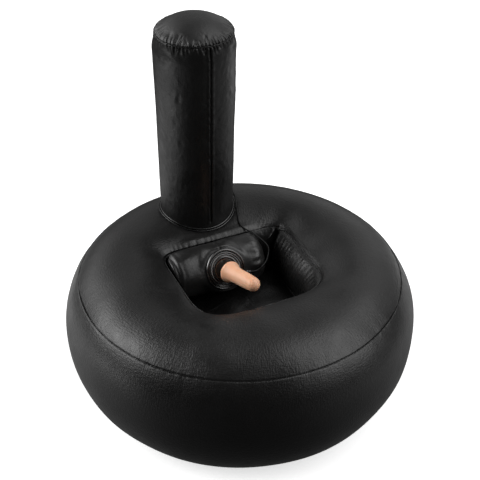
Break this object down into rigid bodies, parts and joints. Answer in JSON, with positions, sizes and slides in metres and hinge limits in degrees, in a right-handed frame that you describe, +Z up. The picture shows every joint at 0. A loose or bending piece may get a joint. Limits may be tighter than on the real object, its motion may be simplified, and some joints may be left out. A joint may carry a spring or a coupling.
{
  "type": "inflatable vibrating seat",
  "caption": "Round inflatable seat with an upright back column and a square recess that holds a bolster with a motor-driven massager, worked by a wired speed handset.",
  "frame": {"origin": "on the floor, at the centre of the seat's flat underside", "axes": "+Z up, +Y from the seat's centre to the column, +X to the right of someone who faces the column"},
  "size_m": [0.75, 0.755, 0.7721],
  "materials": {
    "seat_film": "soft embossed film, semi-matte",
    "column_film": "soft film, semi-matte with broad highlights",
    "weld": "pressed film edge, slightly glossy",
    "bolster_film": "soft film drawn tight, semi-matte",
    "collar_rubber": "moulded soft plastic, glossy",
    "silicone": "plain soft silicone, satin",
    "neck": "light grey soft plastic, glossy",
    "motor_tube": "moulded plastic",
    "steel": "plain steel",
    "brass": "turned brass",
    "copper": "enamelled and sleeved copper wire",
    "valve_vinyl": "dark moulded soft vinyl",
    "handset_case": "fine spark texture",
    "board": "bare circuit board",
    "cell": "plain unprinted battery sleeve",
    "lens": "clear red plastic",
    "cable": "smooth cable jacket"
  },
  "bodies": {
    "seat": {"seat_base_panel": "seat_film", "seat_side_panel": "seat_film", "seat_top_panel": "seat_film", "outer_seam_weld": "weld", "well_wall": "seat_film", "well_rim_weld": "weld", "well_floor": "seat_film", "floor_tie_left": "seat_film", "floor_tie_right": "seat_film", "column_wall": "column_film", "column_cap": "column_film", "column_cap_weld": "weld", "column_base_panel": "column_film", "column_base_weld": "weld", "bolster_wall": "bolster_film", "bolster_end_left": "bolster_film", "bolster_end_right": "bolster_film", "collar_flange": "collar_rubber", "collar_socket": "collar_rubber", "neck_coupling": "neck", "core_tube": "motor_tube", "core_plug": "neck", "motor_can": "steel", "motor_rear_cap": "motor_tube", "lead_wire_lower": "copper", "lead_wire_upper": "copper", "handset_bottom_shell": "handset_case", "handset_top_shell": "handset_case", "case_screw_front": "steel", "case_screw_back": "steel", "speed_pot": "neck", "circuit_board": "board", "indicator_lens": "lens", "battery_cell_front": "cell", "battery_cell_back": "cell", "contact_plate": "steel", "contact_spring_front": "steel", "contact_spring_back": "steel", "control_cable": "cable", "cable_gland": "collar_rubber", "handset_strain_relief": "collar_rubber", "seat_valve_flange": "valve_vinyl", "seat_valve_stem": "valve_vinyl", "seat_valve_tether": "valve_vinyl", "column_valve_flange": "valve_vinyl", "column_valve_stem": "valve_vinyl", "column_valve_tether": "valve_vinyl"},
    "massager": {"massager_sleeve": "silicone"},
    "eccentric": {"motor_shaft": "steel", "eccentric_weight": "brass", "motor_armature": "copper"},
    "seat_plug": {"seat_valve_plug": "valve_vinyl"},
    "column_plug": {"column_valve_plug": "valve_vinyl"},
    "seat_flap": {"seat_valve_flap": "valve_vinyl"},
    "column_flap": {"column_valve_flap": "valve_vinyl"},
    "dial": {"speed_dial": "handset_case", "dial_shaft": "steel"},
    "door": {"battery_door": "handset_case"}
  },
  "joints": [
    {"name": "massager_pull", "type": "slide", "parent": "seat", "child": "massager", "axis": [0.1862, -0.958, 0.2181], "range_m": [0, 0.055]},
    {"name": "eccentric_spin", "type": "hinge", "parent": "seat", "child": "eccentric", "pos_m": [-0.0202, 0.03067, 0.26546], "axis": [0.1862, -0.958, 0.2181], "continuous": true},
    {"name": "seat_plug_pull", "type": "slide", "parent": "seat", "child": "seat_plug", "axis": [0, 1, 0], "range_m": [0, 0.012]},
    {"name": "column_plug_pull", "type": "slide", "parent": "seat", "child": "column_plug", "axis": [0, 0.9996, 0.029], "range_m": [0, 0.012]},
    {"name": "seat_flap_hinge", "type": "hinge", "parent": "seat", "child": "seat_flap", "pos_m": [0, 0.3606, 0.1726], "axis": [-1, 0, 0], "range_deg": [0, 35], "stiffness_Nm_per_rad": 0.0005},
    {"name": "column_flap_hinge", "type": "hinge", "parent": "seat", "child": "column_flap", "pos_m": [-0.0055, 0.28585, 0.42651], "axis": [-1, 0, 0], "range_deg": [0, 35], "stiffness_Nm_per_rad": 0.0005},
    {"name": "dial_turn", "type": "hinge", "parent": "seat", "child": "dial", "pos_m": [-0.13, 0.337, 0.0244], "axis": [0, 0, -1], "range_deg": [0, 270]},
    {"name": "battery_door_slide", "type": "slide", "parent": "seat", "child": "door", "axis": [-1, 0, 0], "range_m": [0, 0.03]}
  ]
}
